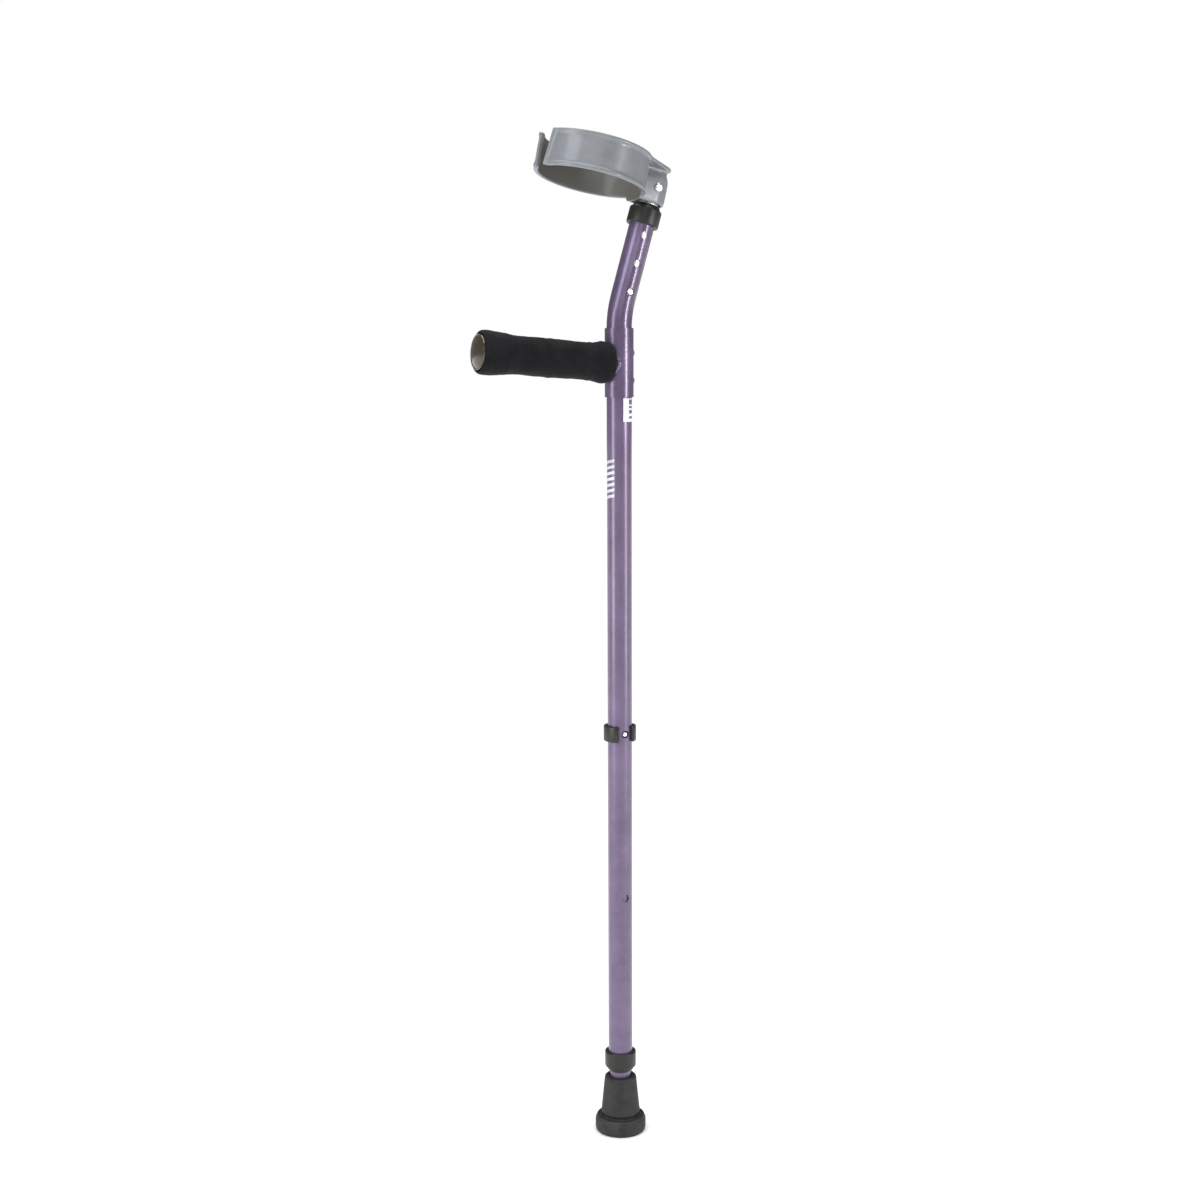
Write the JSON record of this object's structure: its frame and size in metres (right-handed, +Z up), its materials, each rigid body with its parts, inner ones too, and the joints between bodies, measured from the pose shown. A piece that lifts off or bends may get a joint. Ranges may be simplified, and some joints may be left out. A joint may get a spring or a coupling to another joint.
{
  "type": "forearm crutch",
  "caption": "Forearm crutch with a telescoping leg, a straight foam handgrip, an adjustable open arm cuff that rocks on a bolt, and a flared rubber foot.",
  "frame": {"origin": "centre of the flat sole of the rubber foot, on the floor", "axes": "+Z up along the main tube, -X along the handgrip (forwards), +Y to the side away from the lock holes"},
  "size_m": [0.1871, 0.0984, 0.9026],
  "materials": {
    "purple_tube": "purple metallic paint on drawn aluminium tube",
    "painted_rivet": "blind rivets painted with the tube",
    "bare_aluminium": "bright drawn aluminium",
    "black_plastic": "black moulded nylon, satin",
    "cap_plastic": "dark olive moulded end cap, glossy",
    "grip_foam": "black knit-faced foam, matt",
    "foot_rubber": "dark grey moulded rubber",
    "plated_steel": "bright zinc plated",
    "grey_plastic": "grey moulded polypropylene, semi gloss",
    "label_film": "white printed film with plain bars"
  },
  "bodies": {
    "frame": {"main_tube": "purple_tube", "handle_sleeve": "purple_tube", "sleeve_rivets": "painted_rivet", "handle_bar": "purple_tube", "grip_core": "black_plastic", "grip_end_cap": "cap_plastic", "grip_foam": "grip_foam", "upper_collar": "black_plastic", "lower_collar": "black_plastic", "tube_label": "label_film"},
    "leg": {"leg_tube": "purple_tube", "ferrule": "foot_rubber", "ferrule_washer": "plated_steel"},
    "leg_clip": {"leg_clip": "black_plastic", "leg_clip_pin": "plated_steel"},
    "cuff_post": {"cuff_post": "bare_aluminium"},
    "spring_button": {"cuff_spring_button": "plated_steel"},
    "cuff": {"cuff": "grey_plastic", "cuff_bolt": "plated_steel", "cuff_nut": "plated_steel"}
  },
  "joints": [
    {"name": "leg_slide", "type": "slide", "parent": "frame", "child": "leg", "axis": [0, 0, -1], "range_m": [0, 0.1524]},
    {"name": "leg_clip_pull", "type": "slide", "parent": "frame", "child": "leg_clip", "axis": [0, 1, 0], "range_m": [0, 0.03], "deforming": ["leg_clip"]},
    {"name": "cuff_slide", "type": "slide", "parent": "frame", "child": "cuff_post", "axis": [0.284, 0, 0.9588], "range_m": [0, 0.0508], "deforming": ["cuff_spring_button"]},
    {"name": "cuff_button_press", "type": "hinge", "parent": "cuff_post", "child": "spring_button", "pos_m": [0.01567, -0.0049, 0.8029], "axis": [0.9588, 0, -0.284], "range_deg": [0, 4.5], "stiffness_Nm_per_rad": 1},
    {"name": "cuff_tilt", "type": "hinge", "parent": "cuff_post", "child": "cuff", "pos_m": [0.03197, 0, 0.85794], "axis": [0, 1, 0], "range_deg": [-1.5, 5]}
  ]
}
